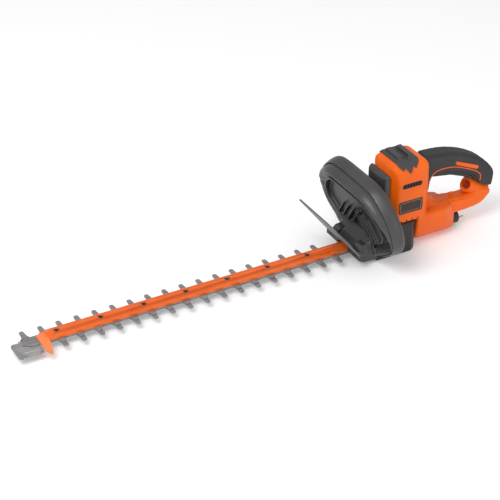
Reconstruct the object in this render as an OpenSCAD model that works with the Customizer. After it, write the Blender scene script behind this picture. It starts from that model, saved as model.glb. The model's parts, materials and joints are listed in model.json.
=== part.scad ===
// Corded hedge trimmer: twin reciprocating blades, hooped front handle with switch
// lever, upright motor housing and closed rear handle with trigger.
// Millimetres. +Z up, blades point to -X, rear handle to +X, operator's left is -Y.
// Origin: flat underside of the gearcase, directly below the crank shaft.

/* [Blades] */
// distance between teeth on one edge
pitch = 33.333; // [25:0.1:40]
// reach of the long teeth from the centre line
tooth_reach = 35.5; // [28:0.5:44]
// reach of the short teeth from the centre line
short_reach = 25.0; // [20:0.5:34]
// thickness of each blade
blade_t = 2.2; // [1.5:0.1:4]
// half width of the blade spine
spine_h = 13.0; // [10:0.5:18]
// gap between the two blades and to the bar
blade_gap = 0.3; // [0.1:0.05:1]
// height of the gap between the blades above the rest plane
blade_z = 16.0; // [14:0.5:22]
// x of the first tooth on the right edge
far_start = -690.5; // [-760:1:-560]
// x of the first tooth on the left edge
near_start = -636.45; // [-720:1:-520]
// number of teeth on the right edge
far_teeth = 18; // [10:1:22]
// number of teeth on the left edge
near_teeth = 17; // [9:1:20]

/* [Drive] */
// throw of each eccentric
throw = 8.333; // [5:0.1:10]
// radius of the eccentric discs
ecc_r = 15.0; // [13.5:0.1:18]
// room on each side of a disc in its blade slot
yoke_play = 2.3; // [1.9:0.1:3]
// gear module
gear_m = 1.25; // [1:0.05:1.6]
// teeth on the crank gear
gear_teeth = 56; // [40:1:60]
// teeth on the motor pinion
pinion_teeth = 8; // [7:1:12]
// radius of the crank shaft
crank_r = 5.0; // [4:0.1:6]
// radius of the armature shaft
arm_r = 3.5; // [3:0.1:5]
// radial running clearance of shafts in their bushes
run_fit = 0.05; // [0.02:0.01:0.1]

/* [Front handle] */
// forward lean of the hoop in degrees
hoop_lean = 10.8; // [0:0.5:20]
// half width of the hoop at its widest
hoop_h = 119; // [90:1:140]
// radial thickness of the fixed hoop
hoop_t = 26; // [20:1:34]
// gap between the fixed hoop and the switch lever
lever_gap = 1.0; // [0.9:0.05:1.5]
// lever pivot pin radius
pivot_r = 3.0; // [2:0.1:4]

/* [Guard] */
// half width of the leaning guard
guard_h = 60; // [45:1:80]
// height of the guard along its slope
guard_len = 108; // [60:1:130]
// guard thickness
guard_t = 3.2; // [2:0.1:5]

/* [Motor] */
// stator outside radius
stator_r = 28.5; // [24:0.5:30]
// armature core radius
core_r = 16.2; // [14:0.1:18]

/* [Housing] */
// half width of the motor housing
body_h = 42; // [36:0.5:50]
// height of the motor housing top
body_top = 180; // [165:1:195]
// wall thickness
wall = 3; // [2:0.1:4]
// half width of the rear handle
grip_h = 18; // [14:0.5:24]
// grip cover thickness
cover_t = 3; // [2:0.1:4]

/* [Controls and inlet] */
// trigger pin radius
trig_pin_r = 2.0; // [1.5:0.1:3]
// inlet pin radius
inlet_pin_r = 2.0; // [1.5:0.05:3]
// inlet pin length, of which the outer part is bare metal
inlet_pin_len = 19; // [12:0.5:22]
// length of the bare metal end of each pin
bare_len = 10; // [6:0.5:12]
// half distance between the inlet pins
inlet_half = 9.5; // [7:0.1:12]

/* [Hidden] */
$fn = 48;
up_z0 = blade_z + blade_gap/2;
lo_z0 = blade_z - blade_gap/2 - blade_t;
bar_z0 = up_z0 + blade_t + blade_gap;
wash_z1 = lo_z0 - blade_gap;
bolt_x = [for (i = [0:6]) -640 + 81*i];
centre_d = gear_m*(gear_teeth + pinion_teeth)/2;
motor_x = centre_d;
orange = [0.93, 0.36, 0.07];
black = [0.16, 0.16, 0.17];
charcoal = [0.24, 0.24, 0.25];
steel = [0.62, 0.63, 0.64];
copper = [0.72, 0.42, 0.22];

// ---------- helpers ----------
module along_y(y0, y1) { translate([0, y1, 0]) rotate([90, 0, 0]) linear_extrude(y1 - y0) children(); }
module along_x(x0, x1) { translate([x0, 0, 0]) rotate([90, 0, 90]) linear_extrude(x1 - x0) children(); }
module along_z(z0, z1) { translate([0, 0, z0]) linear_extrude(z1 - z0) children(); }
module cyl_z(x, y, z0, z1, r) { translate([x, y, z0]) cylinder(h = z1 - z0, r = r); }
module cyl_x(x0, x1, y, z, r) { translate([x0, y, z]) rotate([0, 90, 0]) cylinder(h = x1 - x0, r = r); }
module cyl_y(y0, y1, x, z, r) { translate([x, y1, z]) rotate([90, 0, 0]) cylinder(h = y1 - y0, r = r); }
module box(x0, x1, y0, y1, z0, z1) { translate([x0, y0, z0]) cube([x1 - x0, y1 - y0, z1 - z0]); }
module mirror_y() { children(); mirror([0, 1, 0]) children(); }
// move each point of a counter-clockwise outline outwards by g
function grow(p, g) = [for (i = [0:len(p) - 1])
  let (n = len(p), t = p[(i + 1) % n] - p[(i + n - 1) % n]) p[i] + [t[1], -t[0]]/norm(t)*g];
// one round of corner cutting, so a coarse outline becomes a soft one
function soften(p) = [for (i = [0:len(p) - 1]) let (n = len(p), q = p[(i + 1) % n])
  for (k = [0.25, 0.75]) p[i]*(1 - k) + q*k];
function flip(p) = [for (i = [len(p) - 1:-1:0]) [-p[i][0], p[i][1]]];
// rectangle with cut corners, shrunk by g
module chamfer_rect(a0, a1, b0, b1, c, g = 0)
  polygon([[a0 + g + c, b0 + g], [a1 - g - c, b0 + g], [a1 - g, b0 + g + c], [a1 - g, b1 - g - c],
    [a1 - g - c, b1 - g], [a0 + g + c, b1 - g], [a0 + g, b1 - g - c], [a0 + g, b0 + g + c]]);

// ---------- blades ----------
// one tooth pointing to +Y: a blunt finger with curved flanks
function flank(reach) = [[9.8, spine_h - 1], [7.0, spine_h + 1.4], [5.4, spine_h + 4.6], [4.6, spine_h + 9],
  [3.9, reach - 2.4], [2.3, reach - 0.4]];
function tooth_pts(reach) = let (f = flank(reach)) concat(f, [[0, reach]], [for (i = [5:-1:0]) [-f[i][0] - 0.4, f[i][1]]]);
module far_tooth(reach) polygon(tooth_pts(reach));
module near_tooth(reach) mirror([0, 1, 0]) polygon(tooth_pts(reach));
module teeth(far_reach, near_reach) {
  for (i = [0:far_teeth - 1]) translate([far_start + i*pitch, 0]) far_tooth(far_reach);
  for (i = [0:near_teeth - 1]) translate([near_start + i*pitch, 0]) near_tooth(near_reach);
}
module yoke_plate() polygon([[-44, -spine_h], [-31, -31], [31, -31], [31, 31], [-31, 31], [-44, spine_h]]);
module spine(x0) polygon([[x0, -spine_h], [-40, -spine_h], [-40, spine_h], [x0, spine_h]]);
module blade_holes() {
  for (x = bolt_x) translate([x, 0]) {
    translate([-8.9, -4.6]) square([17.8, 9.2]);
    for (s = [-1, 1]) translate([8.9*s, 0]) circle(r = 4.6);
  }
  translate([-ecc_r - yoke_play, -ecc_r - throw - 0.5]) square([2*(ecc_r + yoke_play), 2*(ecc_r + throw + 0.5)]);
}
// the lower blade carries the long left teeth and the saw plate at its tip
module lower_blade() color(steel) along_z(lo_z0, lo_z0 + blade_t) difference() {
  union() {
    spine(-705); yoke_plate(); teeth(short_reach, tooth_reach);
    polygon([[-720, 7], [-721.5, 3], [-721.5, -33], [-717, -36.8], [-711.5, -32.8], [-706, -36.8],
      [-700.5, -32.8], [-695, -36.8], [-689.5, -32.8], [-684, -36.8], [-679, -33], [-675.8, -35.5],
      [-676, -12], [-700, 9], [-706.5, 9], [-716, 10]]);
  }
  blade_holes();
}
module upper_blade() color([0.68, 0.69, 0.7]) along_z(up_z0, up_z0 + blade_t) difference() {
  union() { spine(-690); yoke_plate(); teeth(tooth_reach, short_reach); polygon([[-703, -3], [-690, -12], [-688, 12], [-697, 14]]); }
  blade_holes();
}

// ---------- blade support ----------
module blade_bar() color([0.85, 0.3, 0.06]) difference() {
  union() {
    along_x(-658, -39) polygon([[-14, bar_z0], [14, bar_z0], [14, bar_z0 + 4.6], [1.2, bar_z0 + 9], [-1.2, bar_z0 + 9],
      [-14, bar_z0 + 4.6]]);
    along_z(bar_z0, bar_z0 + 3) polygon([[-657, 13], [-668, 11], [-675, 5], [-675, -40], [-672.5, -49], [-670, -51],
      [-667, -48.5], [-657, -10]]);
  }
  for (x = bolt_x) { cyl_z(x, 0, bar_z0 - 1, bar_z0 + 12, 2.6); cyl_z(x, 0, bar_z0 + 4, bar_z0 + 12, 5.2); }
}
module blade_bolts() color(steel) for (x = bolt_x) difference() {
  union() { cyl_z(x, 0, 7, bar_z0 + 4, 2.5); cyl_z(x, 0, bar_z0 + 4, bar_z0 + 7.6, 4.6); }
  cyl_z(x, 0, bar_z0 + 5.6, bar_z0 + 9, 2);
}
module blade_sleeves() color(steel) for (x = bolt_x) difference() {
  cyl_z(x, 0, wash_z1, bar_z0, 4.2);
  cyl_z(x, 0, wash_z1 - 1, bar_z0 + 1, 2.6);
}
module blade_washers() color(steel) for (x = bolt_x) difference() {
  cyl_z(x, 0, wash_z1 - 1.5, wash_z1, 9.5);
  cyl_z(x, 0, wash_z1 - 3, wash_z1 + 1, 2.6);
}
module blade_nuts() color(steel) for (x = bolt_x) difference() {
  translate([x, 0, wash_z1 - 5.5]) cylinder(h = 4, r = 5, $fn = 6);
  cyl_z(x, 0, wash_z1 - 7, wash_z1, 2.5);
}

// ---------- guard ----------
guard_screw_z = 25.2;
module guard_plate() color([0.42, 0.42, 0.43]) difference() {
  union() {
    translate([-74, 0, 26]) rotate([0, -38, 0])
      along_x(-guard_t/2, guard_t/2) chamfer_rect(-guard_h, guard_h, 0, guard_len, 9);
    box(-79, -70, -57, 57, up_z0 + blade_t + 1.5, 32);
  }
  box(-90, -60, -15.2, 15.2, 0, bar_z0 + 9.6);
  for (s = [-1, 1]) { cyl_x(-90, -60, 38*s, guard_screw_z, 2.2); cyl_x(-80, -76.5, 38*s, guard_screw_z, 4.4); }
}
module guard_screws() color(steel) for (s = [-1, 1]) difference() {
  union() { cyl_x(-76.5, -58, 38*s, guard_screw_z, 2); cyl_x(-79, -76.5, 38*s, guard_screw_z, 4); }
  cyl_x(-80, -77.8, 38*s, guard_screw_z, 1.8);
}

// ---------- front handle ----------
// hoop outline in its own leaning plane: across, up
hoop_half = [[0, 139.5], [45, 139.5], [66, 135.4], [84, 123], [100, 108], [112, 89.6], [hoop_h, 69],
  [hoop_h - 1, 49], [108, 30.5], [88, 16.3], [62, 0], [46, -8]];
hoop_line = soften(concat([for (i = [11:-1:0]) hoop_half[i]], [for (i = [1:11]) [-hoop_half[i][0], hoop_half[i][1]]]));
hoop_x = -38;
hoop_z = 26;
module leaning() translate([hoop_x, 0, hoop_z]) rotate([0, -hoop_lean, 0]) children();
module slab(a, b, g) along_x(a, b) polygon(grow(hoop_line, g));
// cutter that keeps only what is above height z
module above(z) intersection() { children(); box(-160, 60, -160, 160, z, 260); }
module nose_outer() intersection() {
  along_y(-47, 47) polygon([[-70, 8], [-24, 5], [-24, 58], [-44, 52], [-62, 40], [-70, 30]]);
  along_z(0, 80) polygon([[-70, -40], [-62, -46.5], [-24, -46.5], [-24, 46.5], [-62, 46.5], [-70, 40]]);
}
module nose_inner() {
  box(-80, -10, -15, 15, 6.4, bar_z0 + 9.6);
  box(-56, -10, -33.5, 33.5, 6.4, 30);
  cyl_z(0, 0, 20, 37, gear_m*gear_teeth/2 + 2.6);
  box(-34, -10, -43.5, 43.5, 4, 60);
}
// the hoop's front edge stands furthest forward at the top and sweeps back down the sides
module hoop_front(d) along_y(-160, 160) polygon([[-22 + d, 150], [-22 + d, 139], [-10 + d, 62], [-9 + d, 35], [-10 + d, -40], [60, -40], [60, 150]]);
web_front = -1;
web_rear = 1.5;
module front_handle_shell() color(black) difference() {
  union() {
    leaning() difference() {
      intersection() { hull() { slab(-8, 12, 0); slab(-22, -20, -9); } hoop_front(0); }
      slab(-30, 20, -hoop_t);
      intersection() { slab(-30, 20, -11); hoop_front(3.5); }
      intersection() { slab(-8, 20, -2.8); hoop_front(3.5); }
    }
    difference() {
      leaning() intersection() { slab(-19, 12, 3); hoop_front(1); difference() { slab(-30, 20, -hoop_t + 2.8); slab(-31, 21, -hoop_t); } }
      box(-90, 60, -48, 48, -20, 20);
    }
    leaning() slab(web_front, web_rear, -hoop_t + 1.4);
    for (i = [-3:3]) leaning() translate([web_front - 7, 18*i, 52 - 3*abs(i)]) rotate([38*(i < 0 ? -1 : 1), 0, 0]) translate([0, -1.2, -26]) cube([7.5, 2.4, 52]);
    nose_outer();
    // rounded bosses above the guard flange
    mirror_y() difference() { cyl_y(26, 44, -63.5, 31, 13.2); box(-90, -69.7, 20, 50, 0, 32.6); }
  }
  nose_inner();
  box(-34, 60, -47, 47, 0, 62);
  mirror_y() for (i = [0:2]) translate([-78, 29 + 5*i, 37]) cube([22, 2.4, 10]);
  mirror_y() box(-49, -20, 47, 54.5, 10, 52);
  for (s = [-1, 1]) cyl_x(-90, -56, 38*s, guard_screw_z, 2);
  for (s = [-1, 1]) cyl_y(s > 0 ? 40 : -60, s > 0 ? 60 : -40, pivot_x, pivot_z, pivot_r);
}
// the lever wraps the rear of the hoop; it swings forward about the two pivot pins
lever_front = -4.5;
module front_switch_lever() color(charcoal) difference() {
  union() {
    difference() {
      leaning() hull() { slab(lever_front, lever_front + 1, lever_gap + 2.6); slab(11, 16, lever_gap + 6); slab(22, 23, 0); }
      leaning() hull() { slab(lever_front - 1, lever_front, lever_gap); slab(10.5, 14.5, lever_gap + 3); slab(19.6, 20, -4); }
      leaning() slab(-10, 40, -hoop_t - lever_gap - 2.4);
      box(-120, 80, -160, 160, -40, 30);
      box(-120, 80, -48, 48, -40, 64);
    }
    intersection() {
      leaning() difference() { slab(web_rear + 5.5, 21, -hoop_t - lever_gap); slab(-10, 40, -hoop_t - lever_gap - 2.4); }
      box(-120, 80, -160, 160, 64, 220);
    }
    mirror_y() {
      hull() { cyl_y(48, 52, pivot_x, pivot_z, 6.5); box(-23, -16, 48, 52, 36, 46); }
      box(-23, -16, 48, 74, 38, 46);
    }
  }
  mirror_y() cyl_y(40, 64, pivot_x, pivot_z, pivot_r + run_fit);
}
pivot_x = -40;
pivot_z = 24;
module lever_pivot_pins() color(steel) mirror_y() { cyl_y(41, 52.4, pivot_x, pivot_z, pivot_r); cyl_y(52.4, 54, pivot_x, pivot_z, 5); }
// spring and switch sit inside the hollow top of the hoop
module lever_spring() color(steel) leaning() for (i = [0:8]) translate([-14 + 2.7*i, -26, 122.6]) rotate([0, 90, 0])
  rotate_extrude() translate([4.5, 0]) circle(r = 0.7, $fn = 13);
module front_switch() color([0.1, 0.1, 0.1]) leaning() { translate([-7.6, 14, 119.5]) cube([15, 20, 12]); translate([7.4, 22, 124]) cube([5, 4, 4]); }
module front_collar() color(black) difference() {
  intersection() {
    along_y(-30, 30) polygon([[-18, 62], [-2.4, 62], [-2.4, 160], [-8, 160], [-15, 154], [-18, 145]]);
    along_z(50, 180) polygon([[-18, -18], [-12, -28], [-2.4, -30], [-2.4, 30], [-12, 28], [-18, 18]]);
  }
  box(-15, 0, -25, 25, 58, 150);
}

// ---------- gearcase ----------
module case_plan(g) polygon([[-34 + g, -43.5 + g], [40, -44 + g], [52 - g, -34 + g/2], [52 - g, 34 - g/2], [40, 44 - g], [-34 + g, 43.5 - g]]);
case_screw = [[-20, 40.2], [-20, -40.2], [45, 36], [45, -36]];
module gearcase_base() color(black) difference() {
  union() {
    along_z(0, 4) case_plan(0);
    cyl_z(0, 0, 3, 12, 9.5);
  }
  cyl_z(0, 0, 2, 20, 7.5);
  for (p = case_screw) { cyl_z(p[0], p[1], -1, 20, 1.8); cyl_z(p[0], p[1], -1, 2.2, 3.2); }
}
module gearcase_cover() color([0.2, 0.2, 0.21]) difference() {
  union() {
    difference() { along_z(4, 62) case_plan(0); along_z(3, 57) case_plan(2.6); }
    for (p = case_screw) cyl_z(p[0], p[1], 4, 57, 3.4);
    difference() { cyl_z(0, 0, 42, 57, 10.5); cyl_z(0, 0, 40, 50, 7.5); }
    cyl_z(motor_x, 0, 50, 60, 11);
  }
  for (p = case_screw) cyl_z(p[0], p[1], 0, 40, 1.8);
  cyl_z(motor_x, 0, 53, 63, 9.5);
  cyl_z(motor_x, 0, 49, 61, 6);
  cyl_z(0, 0, 40, 50.5, 7.5);
  box(-40, -30, -33.5, 33.5, 4.2, 37);
  cyl_z(0, 0, 20, 37, gear_m*gear_teeth/2 + 2.6);
}
module gearcase_screws() color(steel) for (p = case_screw) { cyl_z(p[0], p[1], 0.4, 2.2, 3.1); cyl_z(p[0], p[1], 2.2, 34, 1.75); }
module dust_felts() color([0.75, 0.72, 0.62]) { mirror_y() box(-55.5, -49, 14.2, 33, bar_z0, bar_z0 + 3.4); box(-55.5, -49, -33, 33, 6.5, wash_z1); }

// ---------- crank ----------
module crank_shaft() color(steel) cyl_z(0, 0, 3, 50, crank_r);
module eccentric(z0, z1, s) difference() { cyl_z(0, s*throw, z0, z1, ecc_r); cyl_z(0, 0, z0 - 1, z1 + 1, crank_r); }
module lower_eccentric() color(steel) eccentric(lo_z0 - 0.4, blade_z, -1);
module upper_eccentric() color(steel) eccentric(blade_z, up_z0 + blade_t + 0.4, 1);
// involute tooth flank: point at radius r from base circle rb
function inv_pt(rb, r, a) = let (t = sqrt(pow(r/rb, 2) - 1), f = t*180/PI - atan(t)) r*[cos(a + f), sin(a + f)];
module spur(teeth, turn, lash) {
  rp = gear_m*teeth/2; rb = rp*cos(20); ra = rp + gear_m*(teeth < 20 ? 1.1 : 0.9); rf = rp - gear_m*1.2; r0 = max(rb, rf) + 0.001;
  tp = sqrt(pow(rp/rb, 2) - 1); half = 90/teeth - lash/rp*90/PI; base = -half - (tp*180/PI - atan(tp));
  polygon([for (i = [0:teeth - 1]) let (c = turn + 360*i/teeth)
    for (p = concat([rf*[cos(c + base), sin(c + base)]],
      [for (k = [0:2]) inv_pt(rb, r0 + (ra - r0)*k/2, c + base)],
      [for (k = [2:-1:0]) let (q = inv_pt(rb, r0 + (ra - r0)*k/2, base)) [q[0]*cos(c) + q[1]*sin(c), q[0]*sin(c) - q[1]*cos(c)]],
      [rf*[cos(c - base), sin(c - base)]])) p]);
}
module drive_gear() color([0.75, 0.74, 0.7]) difference() {
  union() { along_z(24, 34) spur(gear_teeth, 0, 0.12); cyl_z(0, 0, up_z0 + blade_t + 0.4, 24, 11); cyl_z(0, 0, 34, 41.5, 9); }
  cyl_z(0, 0, 10, 50, crank_r);
  for (i = [0:5]) rotate([0, 0, 60*i + 30]) cyl_z(22, 0, 20, 40, 6.5);
}
module crank_lower_bush() color([0.7, 0.55, 0.3]) difference() { cyl_z(0, 0, 2, 12, 7.5); cyl_z(0, 0, 3, 20, crank_r + run_fit); cyl_z(0, 0, 1, 4, 3); }
module crank_upper_bush() color([0.7, 0.55, 0.3]) difference() { cyl_z(0, 0, 42, 50.5, 7.5); cyl_z(0, 0, 40, 60, crank_r + run_fit); }

// ---------- motor ----------
module armature_shaft() color(steel) { cyl_z(motor_x, 0, 38, 161, arm_r); cyl_z(motor_x, 0, 20, 38, 2.6); }
module motor_pinion() color(steel) translate([motor_x, 0, 0]) difference() { along_z(22, 36) spur(pinion_teeth, 180 + 180/pinion_teeth, 0.12); cyl_z(0, 0, 20, 40, 2.6); }
module armature_core() color([0.45, 0.45, 0.47]) translate([motor_x, 0, 0]) difference() {
  union() { cyl_z(0, 0, 82, 122, core_r); cyl_z(0, 0, 76, 82, 13); cyl_z(0, 0, 122, 128, 12.5); }
  cyl_z(0, 0, 70, 130, arm_r);
  for (i = [0:11]) rotate([0, 0, 30*i]) translate([core_r - 1.4, -0.9, 80]) cube([3, 1.8, 44]);
}
module commutator() color(copper) translate([motor_x, 0, 0]) difference() {
  cyl_z(0, 0, 129, 144, 11);
  cyl_z(0, 0, 120, 150, arm_r);
  for (i = [0:23]) rotate([0, 0, 15*i + 7.5]) translate([10.2, -0.25, 128]) cube([2, 0.5, 12]);
}
module motor_fan() color([0.3, 0.3, 0.32]) translate([motor_x, 0, 0]) difference() {
  union() { cyl_z(0, 0, 63, 65, 26); cyl_z(0, 0, 63, 74, 8); for (i = [0:10]) rotate([0, 0, 360/11*i]) translate([7, -0.8, 64]) cube([18.5, 1.6, 9]); }
  cyl_z(0, 0, 60, 80, arm_r);
}
module stator_core() color([0.5, 0.5, 0.52]) translate([motor_x, 0, 0]) difference() {
  intersection() { cyl_z(0, 0, 80, 124, stator_r); box(-stator_r, stator_r, -26, 26, 79, 125); }
  cyl_z(0, 0, 70, 130, core_r + 0.5);
  mirror_y() for (s = [-1, 1]) translate([s*15.5 - 3, 9, 70]) cube([6, 9, 60]);
}
module field_coils() color(copper) translate([motor_x, 0, 0]) difference() {
  union() { for (s = [-1, 1]) { box(-18.3, -12.7, s > 0 ? 9.2 : -17.8, s > 0 ? 17.8 : -9.2, 76, 128); box(12.7, 18.3, s > 0 ? 9.2 : -17.8, s > 0 ? 17.8 : -9.2, 76, 128);
      box(-18.3, 18.3, s > 0 ? 17.9 : -24, s > 0 ? 24 : -17.9, 124.2, 128); box(-18.3, 18.3, s > 0 ? 17.9 : -24, s > 0 ? 24 : -17.9, 76, 79.8); } }
  cyl_z(0, 0, 70, 130, core_r + 0.5);
}
module bearing(z0, z1) translate([motor_x, 0, 0]) difference() { cyl_z(0, 0, z0, z1, 9.5); cyl_z(0, 0, z0 - 1, z1 + 1, arm_r + run_fit); }
module motor_lower_bearing() color(steel) bearing(53, 60);
module motor_upper_bearing() color(steel) bearing(152, 159);
module brush_holders() color([0.75, 0.65, 0.3]) translate([motor_x, 0, 0]) mirror_y() difference() { box(-6, 6, 13, 32, 131, 141); box(-3.8, 3.8, 12, 30.5, 132.2, 139.8); }
module carbon_brushes() color([0.15, 0.15, 0.15]) translate([motor_x, 0, 0]) mirror_y() box(-3.5, 3.5, 11.4, 24, 132.5, 139.5);
module brush_springs() color(steel) translate([motor_x, 0, 136]) mirror_y() rotate([-90, 0, 0]) for (i = [0:3]) translate([0, 0, 24.7 + 1.5*i]) rotate_extrude() translate([2.4, 0]) circle(r = 0.4, $fn = 13);

// ---------- housing ----------
module tower(g) intersection() {
  along_y(-body_h + g, body_h - g) polygon([[-2 + g, 62], [80 - g, 62], [80 - g, body_top - 20], [75 - g, body_top - 7 - g], [64, body_top - g], [15, body_top - g], [3 + g, body_top - 7 - g], [-2 + g, body_top - 21]]);
  along_z(50, 200) polygon([[-2 + g, -24], [10, -body_h + g], [66, -body_h + g], [80 - g, -30], [80 - g, 30], [66, body_h - g], [10, body_h - g], [-2 + g, 24]]);
  along_x(-10, 100) polygon([[-body_h + g, 62], [body_h - g, 62], [body_h - g, 146], [body_h - 4 - g, body_top - 14], [27, body_top - g], [-27, body_top - g], [-body_h + 4 + g, body_top - 14], [-body_h + g, 146]]);
}
module bulge(g) intersection() {
  along_y(-38 + g, 38 - g) polygon([[54 + g, 20], [66, 2 + g], [148 - g, 2 + g], [148 - g, 40], [136, 62 - g], [54 + g, 66 - g]]);
  along_z(0, 100) polygon([[54 + g, -37 + g], [118, -37 + g], [148 - g, -22], [148 - g, 22], [118, 37 - g], [54 + g, 37 - g]]);
  along_x(0, 200) polygon([[-38 + g, 34], [-30 + g, 14 + g/2], [-12, 2 + g], [12, 2 + g], [30 - g, 14 + g/2], [38 - g, 34], [38 - g, 90], [-38 + g, 90]]);
}
// grip and lower bar seen from the side
grip_line = soften([[74, 92], [94, 94], [96, 120], [108, 128], [144, 122], [176, 109], [192, 98], [200, 78], [232, 65],
  [238, 84], [238, 98], [228, 113], [208, 133], [177, 151], [144, 163], [112, 169], [74, 170]]);
bar_line = soften([[74, 28], [140, 31], [186, 31.5], [210, 35], [225, 46], [236, 62], [204, 76], [190, 60], [140, 64], [104, 70], [92, 94], [74, 94]]);
module grip_block(g) intersection() {
  along_y(-grip_h + g, grip_h - g) polygon(grow(grip_line, -g));
  along_z(0, 200) chamfer_rect(60, 250, -grip_h + g, grip_h - g, 5);
}
module grip_section(g) union() {
  along_y(-grip_h + 6 + g, grip_h - 6 - g) polygon(grow(grip_line, -g));
  along_y(-grip_h + g, grip_h - g) polygon(grow(grip_line, -g - 5));
}
module lower_bar(g) union() {
  along_y(-grip_h + 5 + g, grip_h - 5 - g) polygon(grow(bar_line, -g));
  along_y(-grip_h + g, grip_h - g) polygon(grow(bar_line, -g - 4));
}
barrel_from = [188, 76];
barrel_tilt = 30;
module barrel(a, b, r) translate([barrel_from[0], 0, barrel_from[1]]) rotate([0, 90 + barrel_tilt, 0]) translate([0, 0, a]) cylinder(h = b - a, r = r);
module cord_hole() for (s = [-1, 1]) translate([0, 4.5*s, 0]) barrel(-20, 80, 7.5);
module trigger_room() along_y(-7.5, 7.5) polygon([[98, 112], [98, 142], [190, 122], [200, 96], [190, 88], [150, 100], [110, 112]]);
module housing() difference() {
  union() {
    tower(0);
    bulge(0);
    grip_section(cover_t);
    lower_bar(0);
    barrel(0, 44, grip_h - 0.5);
    box(149, 156, -1.6, 1.6, 55, 70);
  }
  difference() {
    union() {
      tower(wall);
      bulge(wall);
      along_y(-grip_h + cover_t + 3, grip_h - cover_t - 3) polygon(grow(grip_line, -cover_t - 5.5));
      along_y(-grip_h + wall, grip_h - wall) polygon(grow(bar_line, -wall - 2));
    }
    barrel(-1, 60, 15);
    box(-10, 90, -60, 60, 160, 163);
    cyl_z(motor_x, 0, 150, 162, 12);
    for (p = case_bosses) cyl_y(-30, 30, p[0], p[1], 4.4);
    cyl_y(-30, 30, 104, 132, 5);
  }
  cyl_z(motor_x, 0, 140, 159, 9.5);
  cyl_z(motor_x, 0, 150, 161.5, 6);
  box(10, 70, -30, 30, 61, 66);
  cord_hole();
  trigger_room();
  cyl_x(144, 152, 0, inlet_z, 12.5);
  cyl_x(148, 170, 0, inlet_z, 13.8);
  box(cap_x0, cap_x1, -cap_h, cap_h, body_top - 12, 200);
  mirror_y() vent_slot(body_h - 2.2, body_h + 4, 0);
  mirror_y() box(10.5, 61, body_h - 1, body_h + 4, 82, 108);
  for (i = [0:3]) mirror_y() box(15 + 12*i, 18 + 12*i, 36, 60, 64, 68);
  cyl_y(-30, 30, 104, 132, trig_pin_r);
  for (p = case_bosses) { cyl_y(-10, 15.1, p[0], p[1], 1.5); cyl_y(14, 60, p[0], p[1], 3.1); }
}
case_bosses = [[86, 106], [192, 130], [158, 45], [180, 43]];
module housing_left() color(orange) intersection() { housing(); box(-20, 260, -60, 0, -5, 260); }
module housing_right() color(orange) intersection() { housing(); box(-20, 260, 0, 60, -5, 260); }
// cap plugged into the housing top; its ends drop over the sides in points
cap_x0 = 14;
cap_x1 = 52;
cap_h = 24;
module vent_cap() color(black) difference() {
  union() {
    box(cap_x0 + 0.2, cap_x1 - 0.2, -cap_h + 0.2, cap_h - 0.2, body_top - 7, body_top + 1);
    intersection() {
      difference() { tower(-2.8); tower(-0.2); }
      along_y(-80, 80) polygon([[cap_x0 - 3, 210], [cap_x0 - 3, body_top - 3], [cap_x0 + 6, body_top - 12], [cap_x0 + 11, body_top - 8],
        [(cap_x0 + cap_x1)/2, body_top - 19], [cap_x1 - 11, body_top - 8], [cap_x1 - 6, body_top - 12], [cap_x1 + 3, body_top - 3], [cap_x1 + 3, 210]]);
    }
    for (x = [cap_x0 + 3, cap_x1 - 13]) along_x(x, x + 10) polygon([[-27, body_top + 0.5], [27, body_top + 0.5], [19, body_top + 9], [-19, body_top + 9]]);
  }
  for (x = [cap_x0 + 6, cap_x1 - 10]) box(x, x + 4, -16, 16, body_top - 20, body_top + 6);
  box(cap_x0 + 2.8, cap_x1 - 2.8, -cap_h + 2.8, cap_h - 2.8, body_top - 20, body_top - 1.8);
}
// oblong air slot high on each side, shrunk by g
module vent_slot(y0, y1, g) { box(21, 53, y0, y1, 133 + g, 143 - g); for (x = [21, 53]) cyl_y(y0, y1, x, 138, 5 - g); }
module vent_grilles() color(black) mirror_y() difference() {
  vent_slot(body_h - 2.2, body_h - 0.4, 0.2);
  for (i = [0:5]) box(20.5 + 6*i, 24 + 6*i, 0, 60, 134.6, 141.4);
}
module name_plates() color([0.2, 0.13, 0.1]) mirror_y() difference() {
  box(10.7, 60.8, body_h - 1, body_h - 0.2, 82.2, 107.8);
  box(13.5, 58, body_h - 0.5, body_h + 1, 85, 105);
}
module grip_cover() difference() {
  grip_section(0);
  grip_section(cover_t);
  tower(-0.2);
  trigger_room();
  cyl_y(-30, 30, 104, 132, trig_pin_r);
  barrel(-1, 60, grip_h - 0.5);
  lower_bar(0);
  mirror_y() translate([0, 0, 0]) accent(grip_h - 1.2, grip_h + 2, 0.05);
  for (p = case_bosses) cyl_y(5, 60, p[0], p[1], 3.2);
}
module accent(y0, y1, g) along_y(y0, y1) polygon(grow([[148, 144], [146, 140], [149, 136], [194, 116], [198, 118], [197, 123]], g));
module grip_cover_left() color(charcoal) intersection() { grip_cover(); box(0, 260, -60, 0, 0, 260); }
module grip_cover_right() color(charcoal) intersection() { grip_cover(); box(0, 260, 0, 60, 0, 260); }
module grip_accents() color(orange) mirror_y() accent(grip_h - 1.2, grip_h + 0.3, 0);

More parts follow.
